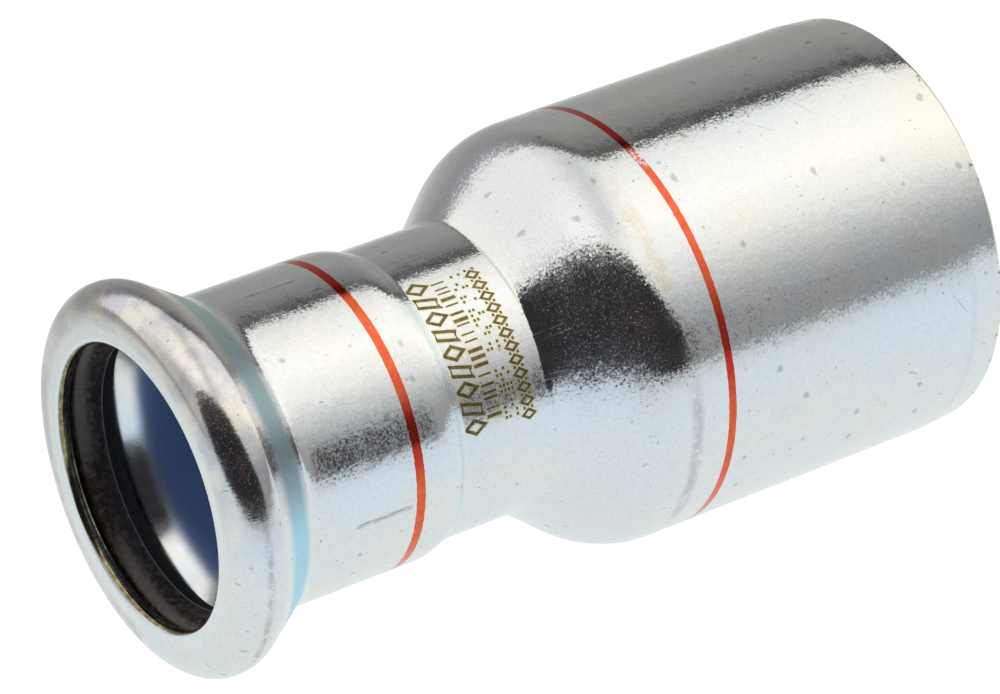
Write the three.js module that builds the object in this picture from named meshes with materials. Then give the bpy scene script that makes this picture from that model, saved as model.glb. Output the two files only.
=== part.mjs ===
// Concentric press-fit reducer: a plain 35 mm end that goes into the next fitting, and a 22 mm press socket
// with its sealing ring. Millimetres, +Z up. The flow axis is the X axis: the plain end faces +X, the socket
// mouth faces -X, and the origin is half-way between them. Each piece is turned about its own Y axis, from
// y = 0 at the plain end's face to the mouth, and one group lays them all down.
import * as THREE from 'three';

// Driving dimensions
const SPIGOT_OD = 35.0;          // plain end, the size of a 35 mm tube
const SOCKET_OD = 25.4;
const TUBE_OD = 22.0;            // the tube that the socket takes
const SOCKET_CLEARANCE = 0.2;    // radial, between that tube and the socket
const WALL = 1.5;
const TOTAL_LENGTH = 70.7;

// Plain end
const LEAD_IN_LENGTH = 3.2;
const LEAD_IN_DROP = 0.28;       // how much the radius shrinks towards the end

// Drawn-down shoulder between the plain end and the neck
const SHOULDER_CORNER = 33.4;    // where the plain end's line would meet the cone's line
const SHOULDER_RADIUS = 8.2;
const CONE_ANGLE = THREE.MathUtils.degToRad(39.7);
const NECK_OD = 23.9;

// Step from the neck to the socket
const STEP_START = 48.2;
const STEP_END = 50.0;
const STOP_START = 49.0;          // inside, where a tube comes to rest
const STOP_END = 50.1;

// Bead at the mouth
const BEAD_WALL = 1.3;
const BEAD_CORNER = 62.6;        // where the socket's line would meet the bead's rear flank
const BEAD_ANGLE = THREE.MathUtils.degToRad(34);
const BEAD_FOOT_RADIUS = 2.2;    // where its rear flank leaves the socket
const BEAD_RADIUS = 2.5;
const LIP_RADIUS = 11.55;        // edge of the mouth

// Sealing ring
const RING_WIDTH = 3.96;         // along the axis
const RING_DEPTH = 2.56;         // across it
const RING_INNER_RADIUS = 11.1;
const RING_GAP = 0.1;            // between the ring and the front wall of its groove

// Printed marker lines
const LINE_THICKNESS = 0.03;
const LINE_GAP = 0.01;
const SPIGOT_LINE = 27.1;
const SPIGOT_LINE_WIDTH = 0.7;
const SOCKET_LINE = 53.0;
const SOCKET_LINE_WIDTH = 0.8;

const SEGMENTS = 46;             // facets round the axis, the same for every piece
const FIRST_FACET = Math.PI / SEGMENTS;  // a facet, not an edge, comes at the bottom
const ARC_STEP = THREE.MathUtils.degToRad(18);

const spigotRadius = SPIGOT_OD / 2;
const socketRadius = SOCKET_OD / 2;
const neckRadius = NECK_OD / 2;
const boreRadius = TUBE_OD / 2 + SOCKET_CLEARANCE;

/** Corner of a profile: its place along the axis, its distance from it, and the radius that rounds it off. */
function corner(along, r, radius = 0) {
  return { point: new THREE.Vector2(r, along), radius };
}

/** Closed profile through the corners, with each rounded one replaced by an arc that meets both its sides. */
function roundedProfile(corners) {
  const profile = [];
  corners.forEach(({ point, radius }, i) => {
    if (radius === 0) {
      profile.push(point);
      return;
    }
    const before = corners.at(i - 1).point.clone().sub(point).normalize();
    const after = corners[(i + 1) % corners.length].point.clone().sub(point).normalize();
    const halfCorner = before.angleTo(after) / 2;
    const turn = Math.PI - 2 * halfCorner;
    const inwards = before.clone().add(after).normalize();
    const centre = point.clone().addScaledVector(inwards, radius / Math.sin(halfCorner));
    const start = point.clone().addScaledVector(before, radius / Math.tan(halfCorner));
    const side = Math.sign(before.cross(after));
    const steps = Math.max(2, Math.round(turn / ARC_STEP));
    for (let k = 0; k <= steps; k += 1) {
      profile.push(start.clone().rotateAround(centre, -side * turn * (k / steps)));
    }
  });
  profile.push(profile[0].clone());
  return profile;
}

/** Solid turned about Y from a closed profile of (r, y) points. */
function turned(name, profile, material) {
  const geometry = new THREE.LatheGeometry(profile, SEGMENTS, FIRST_FACET);
  const mesh = new THREE.Mesh(geometry, material);
  mesh.name = name;
  return mesh;
}

/** Where a sloping wall's inner face reaches the radius r, when its outer face passes through a corner. */
function innerFace(cornerAlong, cornerRadius, slope, wall, r) {
  const along = cornerAlong + wall * Math.sin(slope);
  const radius = cornerRadius - wall * Math.cos(slope);
  return along + (r - radius) / Math.tan(slope);
}

const plating = new THREE.MeshStandardMaterial({ color: 0xb9bcc0, roughness: 0.35, metalness: 1.0 });
const elastomer = new THREE.MeshStandardMaterial({ color: 0x101012, roughness: 0.55, metalness: 0.0 });
const markerInk = new THREE.MeshStandardMaterial({ color: 0xc62828, roughness: 0.6, metalness: 0.0 });

// Outside: up from the plain end, over the shoulder, the neck and the socket to the mouth
const coneFoot = SHOULDER_CORNER + (spigotRadius - neckRadius) / Math.tan(CONE_ANGLE);
const beadCornerRadius = socketRadius + (TOTAL_LENGTH - BEAD_CORNER) * Math.tan(BEAD_ANGLE);
const outside = [
  corner(0, spigotRadius - LEAD_IN_DROP, 0.45),
  corner(LEAD_IN_LENGTH, spigotRadius, 6),
  corner(SHOULDER_CORNER, spigotRadius, SHOULDER_RADIUS),
  corner(coneFoot, neckRadius, 0.8),
  corner(STEP_START, neckRadius, 0.7),
  corner(STEP_END, socketRadius, 5),
  corner(BEAD_CORNER, socketRadius, BEAD_FOOT_RADIUS),
  corner(TOTAL_LENGTH, beadCornerRadius, BEAD_RADIUS),
];

// Inside: back down from the lip, round the groove, past the tube stop and through the neck
const grooveFront = TOTAL_LENGTH - BEAD_WALL;
const grooveFoot = innerFace(BEAD_CORNER, socketRadius, BEAD_ANGLE, BEAD_WALL, boreRadius);
const grooveCornerRadius = boreRadius + (grooveFront - grooveFoot) * Math.tan(BEAD_ANGLE);
const innerConeFoot = innerFace(SHOULDER_CORNER, spigotRadius, -CONE_ANGLE, WALL, neckRadius - WALL);
const innerConeTop = innerFace(SHOULDER_CORNER, spigotRadius, -CONE_ANGLE, WALL, spigotRadius - WALL);
const inside = [
  corner(TOTAL_LENGTH, LIP_RADIUS, 0.6),
  corner(grooveFront, LIP_RADIUS, 0.6),
  corner(grooveFront, grooveCornerRadius, BEAD_RADIUS - BEAD_WALL),
  corner(grooveFoot, boreRadius, BEAD_FOOT_RADIUS + BEAD_WALL),
  corner(STOP_END, boreRadius, 0.6),
  corner(STOP_START, neckRadius - WALL, 1),
  corner(innerConeFoot, neckRadius - WALL, 0.8 + WALL),
  corner(innerConeTop, spigotRadius - WALL, SHOULDER_RADIUS - WALL),
  corner(0, spigotRadius - WALL, 0.3),
];

/** Sealing ring: an oval section, held by the groove. */
function sealingRing() {
  const centreRadius = RING_INNER_RADIUS + RING_DEPTH / 2;
  const centreAlong = grooveFront - RING_GAP - RING_WIDTH / 2;
  const profile = [];
  const steps = 16;
  for (let k = 0; k <= steps; k += 1) {
    const angle = 2 * Math.PI * ((k % steps) / steps);
    const r = centreRadius + (RING_DEPTH / 2) * Math.cos(angle);
    const along = centreAlong + (RING_WIDTH / 2) * Math.sin(angle);
    profile.push(new THREE.Vector2(r, along));
  }
  return turned('sealing_ring', profile, elastomer);
}

/** Printed line: a thin band just off the surface of the given radius. */
function markerLine(name, along, width, radius) {
  const inner = radius + LINE_GAP;
  const outer = inner + LINE_THICKNESS;
  const profile = [
    new THREE.Vector2(outer, along - width / 2),
    new THREE.Vector2(outer, along + width / 2),
    new THREE.Vector2(inner, along + width / 2),
    new THREE.Vector2(inner, along - width / 2),
    new THREE.Vector2(outer, along - width / 2),
  ];
  return turned(name, profile, markerInk);
}

const reducer = new THREE.Group();
reducer.name = 'concentric_reducer';
reducer.add(
  turned('reducer_body', roundedProfile([...outside, ...inside]), plating),
  sealingRing(),
  markerLine('spigot_marker_line', SPIGOT_LINE, SPIGOT_LINE_WIDTH, spigotRadius),
  markerLine('socket_marker_line', SOCKET_LINE, SOCKET_LINE_WIDTH, socketRadius),
);

reducer.rotation.z = Math.PI / 2;
reducer.position.x = TOTAL_LENGTH / 2;

export default reducer;
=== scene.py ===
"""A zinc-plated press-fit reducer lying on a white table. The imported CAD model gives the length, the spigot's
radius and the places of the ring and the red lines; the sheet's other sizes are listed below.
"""

import math
import random

import bmesh
import bpy
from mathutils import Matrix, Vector


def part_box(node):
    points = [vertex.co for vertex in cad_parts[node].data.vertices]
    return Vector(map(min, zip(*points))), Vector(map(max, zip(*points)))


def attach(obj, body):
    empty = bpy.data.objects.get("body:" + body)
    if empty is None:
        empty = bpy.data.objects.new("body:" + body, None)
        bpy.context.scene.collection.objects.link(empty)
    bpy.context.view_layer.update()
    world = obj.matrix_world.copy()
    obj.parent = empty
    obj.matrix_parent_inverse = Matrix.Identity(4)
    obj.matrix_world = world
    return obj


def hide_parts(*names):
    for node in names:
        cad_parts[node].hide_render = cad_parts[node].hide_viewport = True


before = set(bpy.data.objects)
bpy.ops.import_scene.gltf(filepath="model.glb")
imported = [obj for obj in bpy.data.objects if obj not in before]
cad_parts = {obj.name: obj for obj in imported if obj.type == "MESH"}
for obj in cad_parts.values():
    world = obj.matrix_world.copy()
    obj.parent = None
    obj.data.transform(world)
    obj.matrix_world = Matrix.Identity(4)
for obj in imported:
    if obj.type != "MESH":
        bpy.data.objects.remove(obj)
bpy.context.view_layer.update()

MM = 0.001
BODY = "root"

# ---------------------------------------------------------------- sizes, from the frame, in millimetres

body_low, body_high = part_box("reducer_body")
END_X = body_high.x                                   # plain end's face, in metres
AXIS_Z = (body_low.z + body_high.z) / 2               # height of the flow axis, in metres
LENGTH = (body_high.x - body_low.x) / MM
SPIGOT_R = (body_high.y - body_low.y) / 2 / MM
TABLE_Z = AXIS_Z - SPIGOT_R * MM

ring_low, ring_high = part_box("sealing_ring")
RING_HALF_WIDTH = (ring_high.x - ring_low.x) / 2 / MM
RING_HALF_DEPTH = 1.28
RING_R = (ring_high.y - ring_low.y) / 2 / MM - RING_HALF_DEPTH
RING_ALONG = (END_X - (ring_low.x + ring_high.x) / 2) / MM
PARTING_ALONG = RING_ALONG - 0.34                     # the ring's parting line, a little behind its middle

# Sheet metal of the body, as formed: distances are along the axis from the plain end
WALL = 1.5
BEAD_WALL = 1.3
NECK_R = 11.95
SOCKET_R = 12.7
LIP_R = 11.55
SHOULDER_CORNER = 33.4
SHOULDER_RADIUS = 8.2
CONE_SLOPE = math.radians(39.7)
CONE_FOOT_RADIUS = 0.8
STEP = (48.2, 50.0)
STOP = (49.0, 50.1)
BEAD_CORNER = 62.6
BEAD_SLOPE = math.radians(34)
BEAD_RADIUS = 2.5
BEAD_FOOT_RADIUS = 2.2
LEAD_IN = (3.2, 0.28)                                 # length, and drop in radius

AROUND = 240                                          # facets round the fine body
ARC_STEP = math.radians(5)


# ---------------------------------------------------------------- turned shapes

def rounded(corners, step=ARC_STEP):
    """Closed outline through (along, r, radius) corners, each one replaced by an arc."""
    outline = []
    for i, (along, r, radius) in enumerate(corners):
        point = Vector((along, r))
        before = (Vector(corners[i - 1][:2]) - point).normalized()
        after = (Vector(corners[(i + 1) % len(corners)][:2]) - point).normalized()
        half_corner = before.angle(after) / 2
        turn = math.pi - 2 * half_corner
        centre = point + (before + after).normalized() * (radius / math.sin(half_corner))
        start = point + before * (radius / math.tan(half_corner)) - centre
        side = 1 if before.x * after.y - before.y * after.x < 0 else -1
        steps = max(3, round(turn / step))
        for k in range(steps + 1):
            angle = side * turn * k / steps
            cos, sin = math.cos(angle), math.sin(angle)
            turned_x = cos * start.x - sin * start.y
            turned_y = sin * start.x + cos * start.y
            outline.append((centre.x + turned_x, centre.y + turned_y))
    return outline


def divided(outline, longest):
    """The same closed outline, with no stretch longer than the given length."""
    points = []
    for i, (a, r) in enumerate(outline):
        b, s = outline[(i + 1) % len(outline)]
        pieces = max(1, math.ceil(math.hypot(b - a, s - r) / longest))
        points += [(a + (b - a) * k / pieces, r + (s - r) * k / pieces) for k in range(pieces)]
    return points


def place(along, r, angle):
    """A point in metres, by its distance along the axis, its distance from it and its angle from the top."""
    return (END_X - along * MM, r * MM * math.sin(angle), AXIS_Z + r * MM * math.cos(angle))


def new_piece(name, vertices, faces, materials, slot, *nodes, picks=None, smooth=True):
    """A mesh piece that rides on the body; picks gives each face's material, when there are several."""
    mesh = bpy.data.meshes.new(name)
    mesh.from_pydata(vertices, [], faces)
    shape = bmesh.new()
    shape.from_mesh(mesh)
    bmesh.ops.recalc_face_normals(shape, faces=shape.faces)
    shape.to_mesh(mesh)
    shape.free()
    mesh.polygons.foreach_set("use_smooth", [smooth] * len(mesh.polygons))
    for material in materials:
        mesh.materials.append(material)
    if picks:
        mesh.polygons.foreach_set("material_index", picks)
    piece = bpy.data.objects.new(name, mesh)
    bpy.context.scene.collection.objects.link(piece)
    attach(piece, BODY)
    if nodes:
        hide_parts(*nodes)
    return piece


def turned(name, outline_at, around, materials, slot, *nodes, second_from=None, smooth=True):
    """A ring of closed outlines: outline_at(angle) gives the (along, r) points at each angle round the axis.

    The stretches of the outline from number second_from on take the second material.
    """
    vertices = []
    for j in range(around):
        angle = 2 * math.pi * j / around
        vertices += [place(along, r, angle) for along, r in outline_at(angle)]
    count = len(vertices) // around
    faces = []
    for j in range(around):
        here, there = j * count, (j + 1) % around * count
        for i in range(count):
            k = (i + 1) % count
            faces.append((here + i, here + k, there + k, there + i))
    picks = [int(i >= second_from) for i in range(count)] * around if second_from else None
    return new_piece(name, vertices, faces, materials, slot, *nodes, picks=picks, smooth=smooth)


def inner_face(corner, corner_r, slope, wall, r):
    """Where a sloping wall's inner face reaches the radius r, when its outer face passes through a corner."""
    along = corner + wall * math.sin(slope)
    radius = corner_r - wall * math.cos(slope)
    return along + (r - radius) / math.tan(slope)


def body_outline():
    """Section of the sheet, up the outside and back down the inside, and where the inside starts."""
    bore = SOCKET_R - WALL
    neck_bore = NECK_R - WALL
    spigot_bore = SPIGOT_R - WALL
    groove_front = LENGTH - BEAD_WALL
    groove_foot = inner_face(BEAD_CORNER, SOCKET_R, BEAD_SLOPE, BEAD_WALL, bore)
    groove_r = bore + (groove_front - groove_foot) * math.tan(BEAD_SLOPE)
    bead_r = SOCKET_R + (LENGTH - BEAD_CORNER) * math.tan(BEAD_SLOPE)
    inner_cone_foot = inner_face(SHOULDER_CORNER, SPIGOT_R, -CONE_SLOPE, WALL, neck_bore)
    inner_cone_top = inner_face(SHOULDER_CORNER, SPIGOT_R, -CONE_SLOPE, WALL, spigot_bore)
    cone_foot = SHOULDER_CORNER + (SPIGOT_R - NECK_R) / math.tan(CONE_SLOPE)
    outside = [
        (0, SPIGOT_R - LEAD_IN[1], 0.45),
        (LEAD_IN[0], SPIGOT_R, 6),
        (SHOULDER_CORNER, SPIGOT_R, SHOULDER_RADIUS),
        (cone_foot, NECK_R, CONE_FOOT_RADIUS),
        (STEP[0], NECK_R, 0.7),
        (STEP[1], SOCKET_R, 5),
        (BEAD_CORNER, SOCKET_R, BEAD_FOOT_RADIUS),
        (LENGTH, bead_r, BEAD_RADIUS),
    ]
    inside = [
        (LENGTH, LIP_R, 0.6),
        (groove_front, LIP_R, 0.6),
        (groove_front, groove_r, BEAD_RADIUS - BEAD_WALL),
        (groove_foot, bore, BEAD_FOOT_RADIUS + BEAD_WALL),
        (STOP[1], bore, 0.6),
        (STOP[0], neck_bore, 1),
        (inner_cone_foot, neck_bore, CONE_FOOT_RADIUS + WALL),
        (inner_cone_top, spigot_bore, SHOULDER_RADIUS - WALL),
        (0, spigot_bore, 0.3),
    ]
    section = divided(rounded(outside + inside), 1.2)
    mouth = max(i for i, (along, r) in enumerate(section) if along > LENGTH - 0.01)
    return section, mouth


# ---------------------------------------------------------------- materials

class Graph:
    """Short names for the nodes of one shader tree. An input is another node's socket or a plain value."""

    def __init__(self, tree):
        self.tree = tree
        tree.nodes.clear()

    def node(self, kind, inputs=None, **settings):
        made = self.tree.nodes.new(kind)
        for name, value in settings.items():
            setattr(made, name, value)
        for name, value in (inputs or {}).items():
            if isinstance(value, bpy.types.NodeSocket):
                self.tree.links.new(value, made.inputs[name])
            else:
                made.inputs[name].default_value = value
        return made

    def math(self, operation, a, b=0.0):
        return self.node("ShaderNodeMath", {0: a, 1: b}, operation=operation).outputs[0]

    def vector(self, operation, inputs):
        return self.node("ShaderNodeVectorMath", inputs, operation=operation).outputs[0]

    def product(self, first, *others):
        for other in others:
            first = self.math("MULTIPLY", first, other)
        return first

    def span(self, value, low, high, to_low=0.0, to_high=1.0):
        """Smooth step from to_low at low to to_high at high."""
        inputs = {"Value": value, "From Min": low, "From Max": high, "To Min": to_low, "To Max": to_high}
        made = self.node("ShaderNodeMapRange", inputs, interpolation_type="SMOOTHSTEP")
        return made.outputs["Result"]

    def band(self, value, low, high, edge):
        """One between low and high, falling to nought over the edge's width on both sides."""
        rise = self.span(value, low - edge, low + edge)
        fall = self.span(value, high - edge, high + edge, 1.0, 0.0)
        return self.product(rise, fall)

    def ramp(self, value, stops):
        """Colour that runs straight between (value, colour) stops."""
        low, high = stops[0][0], stops[-1][0]
        inputs = {"Value": value, "From Min": low, "From Max": high}
        position = self.node("ShaderNodeMapRange", inputs).outputs["Result"]
        made = self.node("ShaderNodeValToRGB", {"Fac": position})
        elements = made.color_ramp.elements
        while len(elements) < len(stops):
            elements.new(0.5)
        for element, (at, colour) in zip(elements, stops):
            element.position = (at - low) / (high - low)
            element.color = colour
        return made.outputs["Color"]

    def noise(self, vector, scale, detail=2.0, roughness=0.5):
        inputs = {"Vector": vector, "Scale": scale, "Detail": detail, "Roughness": roughness}
        return self.node("ShaderNodeTexNoise", inputs).outputs["Fac"]

    def mix(self, factor, a, b):
        made = self.node("ShaderNodeMix", data_type="RGBA")
        for index, value in ((0, factor), (6, a), (7, b)):
            if isinstance(value, bpy.types.NodeSocket):
                self.tree.links.new(value, made.inputs[index])
            else:
                made.inputs[index].default_value = value
        return made.outputs[2]

    def combine(self, x, y, z):
        return self.node("ShaderNodeCombineXYZ", {"X": x, "Y": y, "Z": z}).outputs[0]

    def grain(self, vector, per_mm, tilt, normal):
        """Normal tilted at random from one fine grain of the surface to the next, a few of them strongly."""
        cells = self.node("ShaderNodeTexVoronoi", {"Vector": vector, "Scale": per_mm}).outputs["Color"]
        blur_inputs = {"Vector": vector, "Scale": per_mm * 0.7, "Detail": 2.0}
        blur = self.node("ShaderNodeTexNoise", blur_inputs).outputs["Color"]
        lean = self.vector("SUBTRACT", {0: self.mix(0.75, cells, blur), 1: (0.5, 0.5, 0.5)})
        pick = self.node("ShaderNodeSeparateColor", {0: cells}).outputs[2]
        tilt = self.math("MULTIPLY", tilt, self.span(pick, 0.93, 0.96, 1.0, 2.2))
        lean = self.vector("SCALE", {0: lean, "Scale": tilt})
        tilted = self.vector("ADD", {0: normal, 1: lean})
        return self.vector("NORMALIZE", {0: tilted})

    def bump(self, height, distance, normal=None):
        inputs = {"Height": height, "Distance": distance}
        if normal is not None:
            inputs["Normal"] = normal
        return self.node("ShaderNodeBump", inputs).outputs[0]

    def surface(self, **inputs):
        shader = self.node("ShaderNodeBsdfPrincipled", {k.replace("_", " "): v for k, v in inputs.items()})
        self.node("ShaderNodeOutputMaterial", {"Surface": shader.outputs[0]})


def new_material(name):
    material = bpy.data.materials.new(name)
    material.use_nodes = True
    return material, Graph(material.node_tree)


def rgb(red, green, blue):
    return (red, green, blue, 1.0)


def cylinder_places(g):
    """Object coordinates in mm, distance along the axis, degrees from the top and distance from the axis."""
    spot = g.node("ShaderNodeTexCoord").outputs["Object"]
    scaled = g.vector("MULTIPLY", {0: spot, 1: (1 / MM, 1 / MM, 1 / MM)})
    parts = g.node("ShaderNodeSeparateXYZ", {0: scaled})
    along = g.math("SUBTRACT", END_X / MM, parts.outputs["X"])
    height = g.math("SUBTRACT", parts.outputs["Z"], AXIS_Z / MM)
    angle = g.math("MULTIPLY", g.math("ARCTAN2", parts.outputs["Y"], height), 180 / math.pi)
    from_axis = g.combine(parts.outputs["Y"], height, 0.0)
    radius = g.node("ShaderNodeVectorMath", {0: from_axis}, operation="LENGTH").outputs["Value"]
    return scaled, along, angle, radius


def dots(g, flat, per_mm, share, size, edge):
    """Soft dots over the unrolled surface, by their number per mm, share kept, radius and edge in mm."""
    cells = g.node("ShaderNodeTexVoronoi", {"Vector": flat, "Scale": per_mm}, voronoi_dimensions="2D")
    pick = g.node("ShaderNodeSeparateColor", {0: cells.outputs["Color"]})
    reach = g.math("MULTIPLY", g.span(pick.outputs[1], 0.0, 1.0, 0.45, 1.0), size * per_mm)
    inside = g.span(g.math("SUBTRACT", reach, cells.outputs["Distance"]), 0.0, edge * per_mm)
    return g.product(inside, g.span(pick.outputs[0], 1.0 - share, 1.0 - share + 0.02))


# Marks left by handling: start and end along the axis, degrees from the top, degrees turned on the way,
# half width in mm, depth of colour
SCUFFS = [
    (53.8, 58.8, -94.3, 0.0, 0.16, 0.70),
    (55.2, 59.6, 6.0, 0.0, 0.10, 0.6),
    (39.6, 42.4, -68.0, 0.0, 0.03, 0.5),
    (44.2, 47.8, -6.5, 0.0, 0.04, 0.5),
    (43.8, 47.2, -2.0, 0.0, 0.03, 0.45),
    (44.6, 48.0, 0.5, 0.0, 0.03, 0.4),
    (15.3, 17.0, -20.5, 5.5, 0.035, 0.6),
    (11.2, 12.1, -19.0, 6.0, 0.05, 0.6),
    (3.9, 5.2, -85.5, 6.0, 0.07, 0.6),
    (21.6, 22.4, -93.0, -4.0, 0.05, 0.6),
    (8.6, 9.6, -99.5, 2.0, 0.10, 0.6),
]


# Light scratches at the foot of the cone: start and end along the axis, degrees from the top, half width
SCRATCHES = [
    (38.9, 41.8, -72.5, 0.03),
    (39.2, 41.2, -70.6, 0.02),
    (38.6, 40.6, -66.8, 0.025),
    (39.0, 40.4, -64.9, 0.02),
    (37.8, 39.6, -52.0, 0.02),
    (38.2, 40.4, -49.6, 0.02),
]


def zinc(g, spot, along, angle, radius):
    """The plating outside: its colour, roughness, normal and metallic value, lower where dust lies."""
    flat = g.combine(along, g.math("MULTIPLY", angle, math.radians(15)), 0.0)
    drift = g.node("ShaderNodeTexNoise", {"Vector": flat, "Scale": 1.1, "Detail": 1.0}).outputs["Color"]
    flat = g.vector("ADD", {0: flat, 1: g.vector("SCALE", {0: drift, "Scale": 0.7})})

    # bluish metal, warmer in broad patches, with a fine mottle
    broad = g.noise(spot, 0.14, 3.0, 0.55)
    colour = g.mix(g.span(broad, 0.35, 0.65), rgb(0.79, 0.815, 0.83), rgb(0.83, 0.82, 0.79))
    mottle = g.span(g.noise(spot, 2.2, 4.0, 0.7), 0.35, 0.72, 0.0, 0.22)
    colour = g.mix(mottle, colour, rgb(0.60, 0.60, 0.58))

    drawn = g.band(along, 33.0, 38.8, 1.6)
    colour = g.mix(g.product(drawn, g.span(angle, -80, -50, 0.25, 0.6)), colour, rgb(0.76, 0.745, 0.80))

    # teal plating behind the bead, whose change round the axis is painted reflection: brightest from -84° down
    # the side, darkest between -66° and -36°, paler again toward the top; a teal line at the step; grey and tan
    # on its crest and front; yellow on the rims
    crevice = g.product(g.span(along, 63.0, 64.0), g.span(along, 66.5, 65.3))
    teal = g.mix(g.span(angle, -84, -66), rgb(0.40, 0.70, 0.84), rgb(0.30, 0.42, 0.45))
    teal = g.mix(g.span(angle, -36, -6), teal, rgb(0.42, 0.60, 0.58))
    colour = g.mix(g.product(crevice, 0.95), colour, teal)
    colour = g.mix(g.product(g.band(along, 48.7, 48.95, 0.25), 0.55), colour, rgb(0.40, 0.66, 0.72))
    # painted reflections and highlights: grey-lavender and tan clouds on the bead's crest and front, faint low
    # on the side and strongest from -48° up to the top
    patches = g.noise(spot, 0.42, 4.0, 0.6)
    front = g.mix(g.span(patches, 0.38, 0.62), rgb(0.56, 0.55, 0.59), rgb(0.78, 0.72, 0.66))
    on_crest = g.product(g.span(along, 66.0, 67.6), g.span(radius, 12.7, 13.5))
    crest = g.product(on_crest, g.span(angle, -92, -48, 0.10, 0.85))
    colour = g.mix(crest, colour, front)
    warm_end = g.product(g.span(along, 7.5, 1.0), g.band(angle, -45, -14, 10), 0.4)
    colour = g.mix(warm_end, colour, rgb(0.86, 0.80, 0.68))
    chips = g.span(g.noise(spot, 1.0, 3.0, 0.6), 0.57, 0.66)
    rim = g.mix(chips, rgb(0.86, 0.78, 0.52), rgb(0.12, 0.10, 0.08))
    edge = g.span(g.math("SUBTRACT", along, g.product(chips, 0.25)), 0.6, 0.15)
    colour = g.mix(g.product(edge, g.span(chips, 0.0, 1.0, 0.65, 0.9)), colour, rim)
    for at, half_width, first, last, depth, tint in (
        (3.1, 0.2, -125, -75, 0.45, rgb(0.50, 0.60, 0.70)),
        (30.4, 0.5, -128, -76, 0.75, rgb(0.56, 0.50, 0.54)),
        (30.8, 0.6, -56, -22, 0.55, rgb(0.70, 0.60, 0.44)),
        (68.5, 0.15, -128, -72, 0.85, rgb(0.40, 0.31, 0.29)),
    ):
        patchy = g.span(g.noise(spot, 1.3, 4.0, 0.7), 0.30, 0.60)
        width = g.band(along, at - half_width, at + half_width, 0.35)
        trace = g.product(width, g.band(angle, first, last, 8), patchy, depth)
        colour = g.mix(trace, colour, tint)

    # grey-yellow stains, dark specks and scuffs
    colour = g.mix(g.product(dots(g, flat, 0.34, 0.42, 0.40, 0.26), 0.55), colour, rgb(0.36, 0.34, 0.28))
    colour = g.mix(g.product(dots(g, flat, 1.2, 0.10, 0.12, 0.06), 0.55), colour, rgb(0.24, 0.22, 0.19))
    streaks = g.combine(g.math("MULTIPLY", along, 0.5), g.math("MULTIPLY", angle, math.radians(80)), 0.0)
    broken = g.span(g.noise(streaks, 1.3, 3.0, 0.6), 0.36, 0.56)
    for start, end, at, slant, half_width, depth in SCUFFS:
        turned_by = g.math("MULTIPLY", g.math("SUBTRACT", along, start), slant / (end - start))
        off_line = g.math("SUBTRACT", g.math("SUBTRACT", angle, at), turned_by)
        across = g.math("MULTIPLY", off_line, math.radians(12.0 if start > 36 else SPIGOT_R))
        width = g.band(across, -half_width, half_width, half_width)
        mark = g.product(g.band(along, start, end, 0.3), width, broken)
        colour = g.mix(g.product(mark, depth), colour, rgb(0.16, 0.15, 0.12))

    smoothed = g.math("MAXIMUM", crevice, g.span(along, 65.6, 67.2))
    roughness = g.span(g.noise(spot, 0.4, 3.0, 0.6), 0.3, 0.7, 0.10, 0.15)
    for part, extra in ((smoothed, 0.04), (crevice, 0.18), (drawn, 0.06)):
        roughness = g.math("ADD", roughness, g.product(part, extra))
    swell = g.bump(g.noise(spot, 0.45, 2.0, 0.5), 0.00003)
    drawn_lines = g.combine(g.math("MULTIPLY", along, 0.55), g.math("MULTIPLY", angle, math.radians(34)), 0.0)
    swell = g.bump(g.noise(drawn_lines, 1.0, 3.0, 0.6), 0.000007, swell)
    normal = g.bump(g.noise(spot, 3.6, 2.0, 0.6), 0.000006, swell)
    tilt = g.math("ADD", g.span(smoothed, 0.0, 1.0, 0.12, 0.06), g.product(drawn, 0.10))
    normal = g.grain(spot, 7.0, tilt, normal)
    bead = g.product(g.span(along, 66.0, 67.0), 0.6)
    dust = g.span(g.noise(spot, 6.5, 2.0, 0.6), 0.54, 0.70)
    dust = g.product(dust, g.span(g.math("MAXIMUM", drawn, bead), 0.0, 1.0, 0.08, 0.34))
    for start, end, at, half_width in SCRATCHES:
        off_line = g.math("MULTIPLY", g.math("SUBTRACT", angle, at), math.radians(NECK_R))
        width = g.band(off_line, -half_width, half_width, half_width)
        mark = g.product(g.band(along, start, end, 0.2), width, broken)
        dust = g.math("MAXIMUM", dust, g.product(mark, 0.55))
    metallic = g.math("SUBTRACT", 1.0, dust)
    return colour, roughness, normal, metallic


def plating_material():
    """Bright zinc on drawn steel."""
    material, g = new_material("zinc_plating")
    spot, along, angle, radius = cylinder_places(g)
    colour, roughness, normal, metallic = zinc(g, spot, along, angle, radius)
    g.surface(Base_Color=colour, Metallic=metallic, Roughness=roughness, Normal=normal)
    return material


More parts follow.
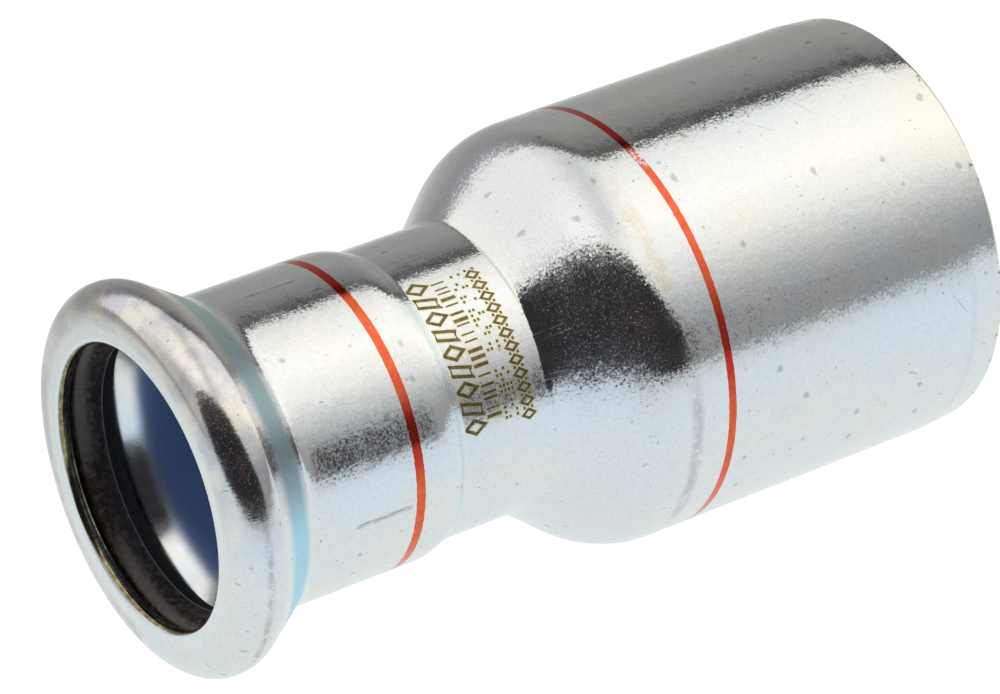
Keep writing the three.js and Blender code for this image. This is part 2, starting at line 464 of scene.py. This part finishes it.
def bore_material():
    """The same zinc inside, smoother; golden at the mouth's lip, darkened there by painted shade; dark blue
    further in, which is painted shade and reflection.
    """
    material, g = new_material("zinc_plating_bore")
    spot, along, angle, radius = cylinder_places(g)
    broad = g.span(g.noise(spot, 0.3, 3.0, 0.6), 0.35, 0.65)
    colour = g.mix(broad, rgb(0.74, 0.79, 0.84), rgb(0.82, 0.82, 0.80))
    # painted shade: the zinc inside the mouth, from the ring's seat to the lip, is darkened to a blotchy
    # olive-gold
    patchy = g.span(g.noise(spot, 1.6, 4.0, 0.7), 0.42, 0.6)
    lip = g.mix(patchy, rgb(0.16, 0.135, 0.07), rgb(0.42, 0.35, 0.18))
    colour = g.mix(g.product(g.span(along, 66.0, 68.0), 0.95), colour, lip)
    patches = g.span(g.noise(spot, 1.2, 3.0, 0.6), 0.4, 0.6)
    gilt = g.mix(patches, rgb(0.36, 0.29, 0.13), rgb(0.14, 0.115, 0.055))
    colour = g.mix(g.product(g.band(along, 70.36, 70.46, 0.05), 0.9), colour, gilt)
    colour = g.mix(g.span(along, 70.5, 70.62), colour, rgb(0.76, 0.80, 0.84))
    # painted shade and reflection: further in, the bore turns dark blue, rougher and less metallic, standing
    # for the shade and blue inter-reflections deep inside the socket and neck
    deep_painted_shade = g.product(g.span(along, 64.1, 62.7), g.span(along, 38.0, 41.0))
    colour = g.mix(g.product(deep_painted_shade, 0.92), colour, rgb(0.21, 0.35, 0.64))
    roughness = g.span(g.noise(spot, 0.5, 3.0, 0.6), 0.3, 0.7, 0.15, 0.23)
    roughness = g.math("ADD", roughness, g.product(deep_painted_shade, 0.3))
    roughness = g.math("MAXIMUM", roughness, g.span(along, 44.0, 38.0, 0.0, 0.36))
    metallic = g.span(deep_painted_shade, 0.0, 1.0, 1.0, 0.45)
    normal = g.bump(g.noise(spot, 3.0, 2.0, 0.6), 0.000003)
    g.surface(Base_Color=colour, Metallic=metallic, Roughness=roughness, Normal=normal)
    return material


def rubber_material():
    """Brownish-black moulded elastomer with a soft sheen, creases and dust; painted shade makes it near black
    behind its parting line, and a painted highlight makes the parting line pale.
    """
    material, g = new_material("black_elastomer")
    spot, along, angle, radius = cylinder_places(g)
    dust = g.noise(spot, 2.0, 4.0, 0.65)
    colour = g.mix(g.span(dust, 0.42, 0.75), rgb(0.020, 0.014, 0.013), rgb(0.115, 0.082, 0.072))
    # painted shade: behind the parting line the ring is near black and rougher
    behind = g.span(along, PARTING_ALONG, PARTING_ALONG - 0.08)
    colour = g.mix(behind, colour, rgb(0.004, 0.004, 0.004))
    # painted highlight: the parting line's pale colour stands for the light it catches along the mould flash
    parting = g.band(along, PARTING_ALONG, PARTING_ALONG + 0.06, 0.04)
    colour = g.mix(parting, colour, rgb(0.34, 0.30, 0.28))
    roughness = g.math("ADD", g.span(dust, 0.3, 0.8, 0.28, 0.44), g.product(behind, 0.35))
    stretched = g.combine(g.math("MULTIPLY", along, 0.7), g.math("MULTIPLY", angle, 0.035), 0.0)
    creases = g.noise(stretched, 2.0, 3.0, 0.6)
    normal = g.bump(g.noise(spot, 5.0, 2.0, 0.6), 0.000006, g.bump(creases, 0.00003))
    g.surface(Base_Color=colour, Roughness=roughness, Normal=normal)
    return material


def ink_material():
    """Red lacquer line: the metal's reflections show through it. It is scuffed at one place on the spigot."""
    material, g = new_material("red_marker_ink")
    spot, along, angle, radius = cylinder_places(g)
    thin = g.noise(spot, 1.1, 3.0, 0.6)
    colour = g.mix(g.span(thin, 0.3, 0.75), rgb(0.76, 0.11, 0.045), rgb(0.84, 0.16, 0.065))
    # painted reflection: the red is deeper in two bands round the axis, -82° to -58° and from about -20° to the
    # top, standing for dark surroundings reflected through the lacquer
    painted_dark_reflection = g.math("MAXIMUM", g.band(angle, -82, -58, 7), g.span(angle, -20, -6))
    colour = g.mix(g.product(painted_dark_reflection, 0.9), colour, rgb(0.62, 0.04, 0.025))
    scuff_place = g.product(g.band(angle, -17.5, -11.0, 2.0), g.span(along, 40.0, 30.0))
    scuffed = g.product(scuff_place, g.span(g.noise(spot, 3.2, 3.0, 0.7), 0.44, 0.56))
    specks = g.span(g.noise(spot, 2.8, 3.0, 0.7), 0.68, 0.74)
    colour = g.mix(g.math("MAXIMUM", scuffed, g.product(specks, 0.6)), colour, rgb(0.78, 0.74, 0.72))
    roughness = g.span(thin, 0.3, 0.7, 0.06, 0.12)
    normal = g.bump(g.noise(spot, 4.6, 2.0, 0.6), 0.000006)
    g.surface(Base_Color=colour, Metallic=1.0, Roughness=roughness, Normal=normal)
    return material


def etch_material(name, dark, pale, roughness):
    """Oxide of the laser marking: one tone blending into another."""
    material, g = new_material(name)
    spot, along, angle, radius = cylinder_places(g)
    colour = g.mix(g.span(g.noise(spot, 3.0, 3.0, 0.65), 0.35, 0.65), dark, pale)
    normal = g.bump(g.noise(spot, 5.0, 2.0, 0.6), 0.00001)
    g.surface(Base_Color=colour, Metallic=0.85, Roughness=roughness, Normal=normal)
    return material


# ---------------------------------------------------------------- the reducer

body_section, mouth = body_outline()
turned("fitting_body", lambda angle: body_section, AROUND, [plating_material(), bore_material()], "plating",
       "reducer_body", second_from=mouth)


def ring_outline():
    """Oval section with a fine raised parting line of its mould a little behind its middle."""
    points = []
    steps = 72
    for k in range(steps):
        angle = 2 * math.pi * k / steps
        flash = 0.07 if k in (38, 2) else 0.0
        along = RING_ALONG + (RING_HALF_WIDTH - 0.02) * math.sin(angle)
        points.append((along, RING_R + (RING_HALF_DEPTH - 0.02 + flash) * math.cos(angle)))
    return points


ring_section = ring_outline()
turned("seal_ring", lambda angle: ring_section, AROUND, [rubber_material()], "elastomer", "sealing_ring")

ink = ink_material()
INK_ROOT = 0.02                                       # how far the ink reaches into the plating
INK_LIFT = 0.003                                      # how far it stands off it


def marker_line(name, node):
    """Thin printed band with slightly ragged edges, where the CAD line is."""
    low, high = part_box(node)
    centre = (END_X - (low.x + high.x) / 2) / MM
    half_width = (high.x - low.x) / 2 / MM
    surface = SPIGOT_R if (high.y - low.y) / 2 / MM > SPIGOT_R else SOCKET_R
    rng = random.Random(name)
    waves = [(rng.randint(5, 190), rng.uniform(0, 2 * math.pi), rng.uniform(0.2, 1.0)) for _ in range(14)]

    def ragged(angle, shift):
        return 0.012 * sum(size * math.sin(n * angle + phase + shift * n) for n, phase, size in waves) / 2

    def outline(angle):
        left = centre - half_width + ragged(angle, 0.0)
        right = centre + half_width + ragged(angle, 1.7)
        under = surface - INK_ROOT
        over = surface + INK_LIFT
        return [(left, under), (right, under), (right, over), (left, over)]

    turned(name, outline, 1080, [ink], "marker_ink", node, smooth=False)


marker_line("spigot_red_line", "spigot_marker_line")
marker_line("socket_red_line", "socket_marker_line")


# ---------------------------------------------------------------- laser marking on the neck

MARKING_START = -80.0                                 # degrees from the top
MARKING_REACH = 13.6                                  # length round the neck


class Strokes:
    """Flat strokes wrapped on the neck, gathered as the vertices and faces of closed thin ribbons."""

    def __init__(self, half_width, lift):
        self.half_width = half_width
        self.lift = lift
        self.vertices = []
        self.faces = []

    def add(self, path, closed=False, scale=1.0):
        """A stroke through (along, run) points; run is the mm round the neck from the marking's start."""
        half = self.half_width * scale
        count = len(path)
        first = len(self.vertices)
        for i, (u, v) in enumerate(path):
            before = path[i - 1] if i or closed else path[0]
            after = path[(i + 1) % count] if i + 1 < count or closed else path[-1]
            into = Vector((u - before[0], v - before[1]))
            out = Vector((after[0] - u, after[1] - v))
            into = into.normalized() if into.length else out.normalized()
            out = out.normalized() if out.length else into
            side = (into + out).normalized()
            side = Vector((-side.y, side.x)) / max(0.5, side.dot(into))
            extra = 0.0 if closed else half * ((i + 1 == count) - (i == 0))
            for across, rise in ((-1, -0.02), (1, -0.02), (1, self.lift), (-1, self.lift)):
                along = u + side.x * across * half + out.x * extra
                run = v + side.y * across * half + out.y * extra
                angle = math.radians(MARKING_START) + run / NECK_R
                self.vertices.append(place(along, NECK_R + rise, angle))
        for i in range(count if closed else count - 1):
            here, there = first + 4 * i, first + 4 * ((i + 1) % count)
            self.faces += [(here + k, here + (k + 1) % 4, there + (k + 1) % 4, there + k) for k in range(4)]
        if not closed:
            last = first + 4 * (count - 1)
            self.faces += [(first, first + 1, first + 2, first + 3), (last + 3, last + 2, last + 1, last)]


def marking_rows():
    """Four rows of (path, closed, weight): lozenges and tiles, bars, a dot pattern, and small lozenges."""
    rng = random.Random(35)
    signs = []

    low, middle, high = 46.3, 47.2, 48.1
    for k in range(9):
        run = 0.5 + 1.5 * k
        if k % 2:
            shape = [(high, run + 0.5), (high, run + 1.25), (low, run + 0.75), (low, run)]
        else:
            shape = [(high, run + 0.65), (middle, run + 1.2), (low, run + 0.65), (middle, run + 0.1)]
        signs.append((shape, True, 1.2))

    run = 1.6
    while run < MARKING_REACH - 0.2:
        signs.append(([(44.85, run), (45.85, run)], False, rng.choice((0.6, 0.9, 1.3))))
        run += rng.choice((0.42, 0.6, 0.8))

    for column in range(30):
        for row in range(4):
            if rng.random() < 0.5:
                at = (43.3 + 0.34 * row, 1.0 + 0.42 * column)
                signs.append(([at, (at[0], at[1] + 0.03)], False, 0.85))

    for k in range(12):
        run = 0.3 + 1.1 * k
        signs.append(([(42.85, run + 0.35), (42.3, run + 0.75), (41.75, run + 0.35), (42.3, run)], True, 0.9))
        for at in (41.95, 42.65):
            signs.append(([(at, run + 0.9), (at, run + 0.93)], False, 0.85))
    return signs


def make_marking():
    pale = etch_material("etch_halo", rgb(0.80, 0.74, 0.46), rgb(0.84, 0.80, 0.60), 0.22)
    dark = etch_material("etch_oxide", rgb(0.14, 0.105, 0.035), rgb(0.27, 0.21, 0.09), 0.34)
    layers = (("marking_halo", pale, 0.19, 0.003), ("marking_strokes", dark, 0.115, 0.006))
    for name, material, half_width, lift in layers:
        strokes = Strokes(half_width, lift)
        for path, closed, weight in marking_rows():
            strokes.add(path, closed, weight)
        new_piece(name, strokes.vertices, strokes.faces, [material], "plating", smooth=False)


make_marking()


# ---------------------------------------------------------------- table, light and camera

def make_table():
    """A plain table, white to the camera, that glows instead of being lit: its glow, seen in reflections, is
    painted light, a little bluer in front, fading to grey far in front, and grey behind, where it stands for
    the table in shade.
    """
    half = 3.0
    mesh = bpy.data.meshes.new("table")
    corners = [(-half, -half, TABLE_Z), (half, -half, TABLE_Z), (half, half, TABLE_Z), (-half, half, TABLE_Z)]
    mesh.from_pydata(corners, [], [(0, 1, 2, 3)])
    material, g = new_material("white_table")
    depth = g.node("ShaderNodeSeparateXYZ", {0: g.node("ShaderNodeTexCoord").outputs["Object"]}).outputs["Y"]
    # painted light: the glow seen in reflections, bright near the part and greyer far away where it stands for
    # the table in shade
    tone = g.ramp(depth, [
        (-0.80, rgb(0.36, 0.38, 0.39)),
        (-0.25, rgb(0.60, 0.67, 0.71)),
        (-0.12, rgb(0.72, 0.81, 0.87)),
        (-0.05, rgb(0.76, 0.86, 0.94)),
        (-0.02, rgb(0.82, 0.88, 0.89)),
        (0.02, rgb(0.80, 0.86, 0.87)),
        (0.12, rgb(0.40, 0.40, 0.38)),
        (0.30, rgb(0.34, 0.34, 0.33)),
    ])
    seen = g.node("ShaderNodeLightPath").outputs["Is Camera Ray"]
    tone = g.mix(seen, tone, rgb(1.0, 1.0, 1.0))
    # the table's own colour is near black and unlit; it shows only its painted glow
    g.surface(Base_Color=rgb(0.04, 0.04, 0.04), Roughness=0.9, Specular_IOR_Level=0.0, Emission_Color=tone,
              Emission_Strength=1.0)
    mesh.materials.append(material)
    table = bpy.data.objects.new("table", mesh)
    bpy.context.scene.collection.objects.link(table)


def make_studio():
    """Soft white light, with a dark room past the table's front edge and a grey wall behind."""
    world = bpy.data.worlds.new("studio")
    world.use_nodes = True
    bpy.context.scene.world = world
    g = Graph(world.node_tree)
    direction = g.node("ShaderNodeTexCoord").outputs["Generated"]
    x, y, z = g.node("ShaderNodeSeparateXYZ", {0: direction}).outputs

    # degrees toward the mouth, and degrees round the flow axis from the side that faces the viewer, upwards
    lift = g.math("MULTIPLY", g.math("ARCSINE", g.math("MULTIPLY", x, -1.0)), 180 / math.pi)
    turn = g.math("ADD", g.math("MULTIPLY", g.math("ARCTAN2", y, z), 180 / math.pi), 52.0)

    light = g.ramp(turn, [
        (-40, rgb(0.31, 0.315, 0.325)),
        (-20, rgb(0.375, 0.38, 0.39)),
        (-10, rgb(0.49, 0.50, 0.505)),
        (0, rgb(0.68, 0.69, 0.68)),
        (10, rgb(0.90, 0.90, 0.87)),
        (20, rgb(1.10, 1.09, 1.01)),
        (40, rgb(1.25, 1.23, 1.18)),
        (60, rgb(1.18, 1.17, 1.11)),
        (80, rgb(1.04, 1.04, 1.02)),
        (120, rgb(1.05, 1.05, 1.03)),
    ])
    valley = g.math("ADD", lift, g.math("MULTIPLY", turn, 0.35))
    shade = g.product(g.span(turn, 18, 44), g.band(valley, 4, 26, 15), 0.62)
    light = g.mix(shade, light, rgb(0.46, 0.50, 0.53))
    light = g.mix(g.product(g.span(lift, 36, 60), 0.5), light, rgb(0.10, 0.10, 0.11))

    above_middle = g.math("MAXIMUM", g.math("ADD", lift, 27.0), 0.0)
    below_middle = g.math("MAXIMUM", g.math("SUBTRACT", -47.0, lift), 0.0)
    wall_edge = g.math("ADD", g.math("MULTIPLY", above_middle, 1.15), below_middle)
    past_edge = g.math("SUBTRACT", g.math("SUBTRACT", turn, 85.0), wall_edge)
    wall = g.ramp(past_edge, [
        (0, rgb(0.02, 0.02, 0.02)),
        (6, rgb(0.07, 0.07, 0.07)),
        (12, rgb(0.22, 0.22, 0.22)),
        (38, rgb(0.35, 0.35, 0.345)),
    ])
    wall = g.mix(g.span(lift, -18.0, -4.0), wall, rgb(0.31, 0.31, 0.32))
    light = g.mix(g.span(past_edge, -4.0, 2.0), light, wall)

    room_floor = g.math("MAXIMUM", g.math("ADD", g.math("MULTIPLY", turn, 0.68), -13.0), -26.5)
    room_side = g.math("ADD", g.math("MULTIPLY", turn, 1.9), -42.3)
    into_room = g.math("SUBTRACT", lift, g.math("MAXIMUM", room_floor, room_side))
    cupboard = g.product(g.band(turn, -13, -5, 6), g.band(lift, 6, 30, 12))
    room = g.mix(cupboard, rgb(0.026, 0.024, 0.027), rgb(0.062, 0.036, 0.033))
    light = g.mix(g.span(into_room, -4.5, 2.5), light, room)

    seen = g.node("ShaderNodeLightPath").outputs["Is Camera Ray"]
    light = g.mix(seen, light, rgb(1.0, 1.0, 1.0))
    background = g.node("ShaderNodeBackground", {"Color": light, "Strength": 1.0})
    g.node("ShaderNodeOutputWorld", {"Surface": background.outputs[0]})


VIEW_AZIMUTH = math.radians(-34.43)
VIEW_ELEVATION = math.radians(32.39)
VIEW_DISTANCE = 0.424
VIEW_LENS = 193.2
AIM_OFFSET = Vector((-0.0017, 0.0, 0.0008))           # from the middle of the part


def make_camera():
    data = bpy.data.cameras.new("camera")
    data.lens = VIEW_LENS
    data.sensor_width = 36.0
    data.clip_start = 0.01
    data.clip_end = 20.0
    camera = bpy.data.objects.new("camera", data)
    back = Vector((math.sin(VIEW_AZIMUTH) * math.cos(VIEW_ELEVATION),
                   -math.cos(VIEW_AZIMUTH) * math.cos(VIEW_ELEVATION),
                   math.sin(VIEW_ELEVATION)))
    middle = (body_low + body_high) / 2
    camera.location = middle + AIM_OFFSET + back * VIEW_DISTANCE
    camera.rotation_euler = (-back).to_track_quat("-Z", "Y").to_euler()
    bpy.context.scene.collection.objects.link(camera)
    bpy.context.scene.camera = camera


make_table()
make_studio()
make_camera()
bpy.context.scene.view_settings.view_transform = "Standard"
